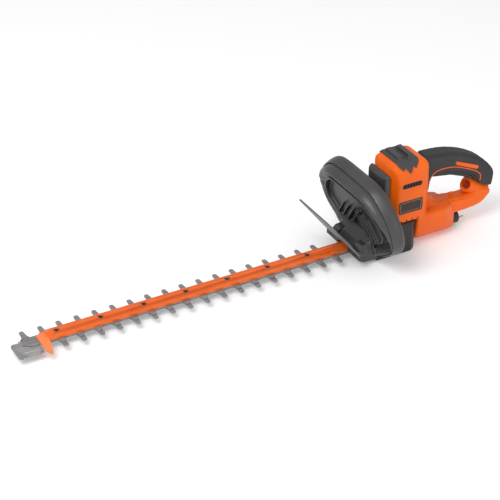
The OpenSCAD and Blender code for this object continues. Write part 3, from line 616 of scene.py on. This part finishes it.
def makeShellSolid():
    spots = cornersOf("housing_left", "housing_right")
    tower = hullOf([p for p in spots if p.x < body["towerEnd"] * mm and p.z > body["towerLow"] * mm])
    front, rear = body["bulgeEnds"]
    bulge = hullOf([p for p in spots if front * mm < p.x < rear * mm and p.z < body["bulgeTop"] * mm])
    gripLine = grown(softened(body["grip"]), -body["cover"] - body["coverGap"])
    barLine = softened(body["bar"])
    parts = [moulded(tower, *body["towerSkin"]), moulded(bulge, *body["bulgeSkin"])]
    for line, steps in ((gripLine, body["gripSteps"]), (barLine, body["barSteps"])):
        parts += [prism(grown(line, gap) if gap else line, body["gripHalf"] - less) for gap, less in steps]
    return moulded(joined(*parts), body["voxel"], body["rounds"])


def cordTube():
    tube = rod(*(alongCord(end) for end in body["cordEnds"]), body["cordRadius"])
    rims = [e for e in tube.edges if e.calc_face_angle(0) > 1]
    bmesh.ops.bevel(tube, geom=rims, offset=body["cordRim"] * mm, segments=4, profile=0.5, affect="EDGES",
                    material=-1)
    return tube


def housingCutters():
    height, side = body["inletHeight"], body["side"]
    cutters = [prism(body["triggerRoom"], body["triggerHalf"])]
    cutters += [rod((x0, 0, height), (x1, 0, height), radius) for x0, x1, radius in body["inletSteps"]]
    for across in (-body["cordHoleHalf"], body["cordHoleHalf"]):
        cutters.append(rod(*(alongCord(end, across) for end in body["cordHole"]), body["cordHoleRadius"]))
    cutters += [block(*body["capRoom"]), rod(*body["triggerPin"]), rod(*body["bearingRoom"])]
    for s in (-1, 1):
        for (x0, x1, z0, z1, corner), depth in ((body["slot"], body["slotDepth"]),
                                                (body["plateSeat"], body["plateDepth"])):
            ends = sorted((s * (side - depth), s * (side + 5)))
            cutters.append(block(x0, x1, *ends, z0, z1, corner, 1))
        ends = sorted(s * y for y in body["ventHalf"])
        for i in range(body["lowVents"]):
            x = body["ventStart"] + body["ventPitch"] * i
            cutters.append(block(x, x + body["ventWidth"], *ends, *body["ventHeight"]))
    for x, z in body["screws"]:
        for y0, y1, radius in (body["screwHole"], body["headHole"]):
            cutters.append(rod((x, y0, z), (x, y1, z), radius))
    return cutters


def makeHousing():
    solid = makeShellSolid()
    inner = shrunk(duplicate(solid), body["wall"])
    for x, z in body["screws"]:  # posts for the case screws are left standing inside
        inner = combined(inner, rod((x, -40, z), (x, 40, z), body["postRadius"]), "DIFFERENCE")
    solid = combined(solid, block(*body["fin"]), "UNION")
    solid = combined(solid, cordTube(), "UNION")
    solid = combined(solid, inner, "DIFFERENCE")
    for cutter in housingCutters():
        solid = combined(solid, cutter, "DIFFERENCE")
    x0, x1, y0, y1, z0, z1 = body["halfRoom"]
    left = combined(duplicate(solid), block(x0, x1, y0, -body["seam"], z0, z1), "INTERSECT")
    right = combined(solid, block(x0, x1, body["seam"], y1, z0, z1), "INTERSECT")
    x0, x1, z0, z1, deep, shallow = body["slotFloor"]
    for half in (left, right):
        for face in half.faces:
            at = face.calc_center_median() / mm
            if x0 < at.x < x1 and z0 < at.z < z1 and body["side"] - deep < abs(at.y) < body["side"] - shallow:
                face.material_index = 1
    addPiece("housingLeft", left, ["housing_left"], [orangeBody, triggerBlack], 50)
    addPiece("housingRight", right, ["housing_right"], [orangeBody, triggerBlack], 50)


makeHousing()

# side plates: blank, with a thin pale line round a sunk field
plates = {
    "x": (10.8, 60.7), "z": (82.3, 107.7), "y": (41.0, 41.8), "corner": 4.2, "rim": 2.9, "line": 0.7,
    "edge": 0.3, "sink": 0.3,
}


def makePlates():
    sides = []
    for s in (-1, 1):
        y = sorted((s * plates["y"][0], s * plates["y"][1]))
        bm = block(*plates["x"], *y, *plates["z"], plates["corner"], 1)
        outer = [f for f in bm.faces if f.normal.y * s > 0.9]
        bmesh.ops.inset_region(bm, faces=outer, thickness=plates["rim"] * mm)
        ring = bmesh.ops.inset_region(bm, faces=outer, thickness=plates["line"] * mm)["faces"]
        for face in ring:
            face.material_index = 1
        bmesh.ops.inset_region(bm, faces=outer, thickness=plates["edge"] * mm, depth=-plates["sink"] * mm)
        sides.append(bm)
    addPiece("sidePlates", joined(*sides), ["name_plates"], [platePlum, plateLine], 30)


makePlates()

# orange bars on the grip and the thin line above the trigger
accents = {
    "voxel": 0.7, "rounds": 3,
    "line": [(88.5, 104), (89.5, 119), (95, 130), (107, 136.5), (128, 137), (150, 132.5), (174, 122),
             (190, 114), (200, 107), (205, 99), (203, 90)],
    "side": 17.75, "radius": 0.95,
}


def makeAccents():
    bars = moulded(cadCopy("grip_accents"), accents["voxel"], accents["rounds"])
    for s in (-1, 1):
        flow = bpy.data.curves.new("triggerLine", "CURVE")
        flow.dimensions = "3D"
        flow.bevel_depth = accents["radius"] * mm
        flow.use_fill_caps = True
        spline = flow.splines.new("NURBS")
        spline.points.add(len(accents["line"]) - 1)
        for point, (x, z) in zip(spline.points, accents["line"]):
            point.co = (x * mm, s * accents["side"] * mm, z * mm, 1)
        spline.order_u = 3
        spline.use_endpoint_u = True
        holder = bpy.data.objects.new("triggerLine", flow)
        bpy.context.scene.collection.objects.link(holder)
        mesh = bpy.data.meshes.new_from_object(holder.evaluated_get(bpy.context.evaluated_depsgraph_get()))
        bars.from_mesh(mesh)
        bpy.data.objects.remove(holder)
        bpy.data.curves.remove(flow)
        bpy.data.meshes.remove(mesh)
    bmesh.ops.remove_doubles(bars, verts=bars.verts, dist=0.000001)
    bmesh.ops.recalc_face_normals(bars, faces=bars.faces)
    addPiece("gripAccents", bars, ["grip_accents"], [orangeBody], 60)


makeAccents()

covers = [  # voxel size and smoothing rounds
    ("gripCoverLeft", "grip_cover_left", 1.1, 5, rubberGrip),
    ("gripCoverRight", "grip_cover_right", 1.1, 5, rubberGrip),
    ("ventCap", "vent_cap", 0.9, 3, blackShell),
    ("inletBody", "inlet_body", 0.8, 2, blackCase),
]
for title, node, voxel, rounds, mat in covers:
    addPiece(title, moulded(cadCopy(node), voxel, rounds), [node], [mat], 60)


# gearcase: one rounded outside for cover and base, with the cover's own bosses kept inside it
gearcase = {
    "voxel": 1.3, "rounds": 22, "wall": 2.5, "boneGap": 0.6, "room": (-60, 80, -60, 60, 4, 90),
    "mouth": (-41, -30, -33.5, 33.5, 4.2, 37), "gearRoom": ((0, 0, 20), (0, 0, 37), 37.6),
    "motorHole": ((40, 0, 53), (40, 0, 66), 9.6),
}


def makeGearcase():
    outside = moulded(hullOf(cornersOf("gearcase_cover", "gearcase_base")),
                      gearcase["voxel"], gearcase["rounds"])
    shell = combined(duplicate(outside), shrunk(duplicate(outside), gearcase["wall"]), "DIFFERENCE")
    shell = combined(shell, block(*gearcase["room"]), "INTERSECT")
    bones = combined(cadCopy("gearcase_cover"), shrunk(duplicate(outside), gearcase["boneGap"]), "INTERSECT")
    cover = combined(shell, bones, "UNION")
    for cutter in (block(*gearcase["mouth"]), rod(*gearcase["gearRoom"]), rod(*gearcase["motorHole"])):
        cover = combined(cover, cutter, "DIFFERENCE")
    base = combined(cadCopy("gearcase_base"), outside, "INTERSECT")
    addPiece("gearcaseCover", cover, ["gearcase_cover"], [blackCase], 50)
    addPiece("gearcaseBase", base, ["gearcase_base"], [blackCase], 40)


# collar between hoop and housing
collar = {"voxel": 1.2, "rounds": 24, "hollow": (-14.2, 2, -23.5, 23.5, 50, 147, 2)}


def makeCollar():
    outside = moulded(hullOf(cornersOf("front_collar")), collar["voxel"], collar["rounds"])
    outside = combined(outside, block(*collar["hollow"]), "DIFFERENCE")
    addPiece("frontCollar", outside, ["front_collar"], [blackShell], 50)


makeGearcase()
makeCollar()

# guard, bar and blades
guard = {"voxel": 0.9, "rounds": 2, "darkBelow": 31.6}
bar = {"edge": 0.7, "segments": 3, "longer": 2.0, "paleBeyond": -657.6}
blade = {"edge": 0.4, "segments": 2, "longer": 1.0}
trigger = {"edge": 1.4, "segments": 3, "longer": 3.0}


def makeGuard():
    bm = moulded(cadCopy("guard_plate"), guard["voxel"], guard["rounds"])
    for face in bm.faces:
        if face.calc_center_median().z < guard["darkBelow"] * mm:
            face.material_index = 1
    addPiece("guardPlate", bm, ["guard_plate"], [greyGuard, darkFlange], 50)


def makeBar():
    bm = roundedEdges(cadCopy("blade_bar"), bar["edge"], bar["segments"], bar["longer"])
    for face in bm.faces:
        if face.calc_center_median().x < bar["paleBeyond"] * mm:
            face.material_index = 1
    addPiece("bladeBar", bm, ["blade_bar"], [orangeBar, orangeTip], 35)


makeGuard()
makeBar()
for title, node, edge, mat, sharp in (("lowerBlade", "lower_blade", blade, brushedBlade, 35),
                                      ("upperBlade", "upper_blade", blade, brushedBlade, 35),
                                      ("rearTrigger", "rear_trigger", trigger, triggerBlack, 40)):
    shape = roundedEdges(cadCopy(node), edge["edge"], edge["segments"], edge["longer"])
    addPiece(title, shape, [node], [mat], sharp)

# everything else keeps its own shape and gets its finish
otherFinish = {
    "blade_bolts": darkFastener, "guard_screws": darkFastener, "housing_screws": darkFastener,
    "lever_pivot_pins": darkFastener, "vent_grilles": triggerBlack,
}
for name, piece in nodes.items():
    if not piece.hide_render:
        piece.data.materials.clear()
        piece.data.materials.append(otherFinish.get(name, finishFor[slotOf[name]]))
print("finishes given to the kept nodes")
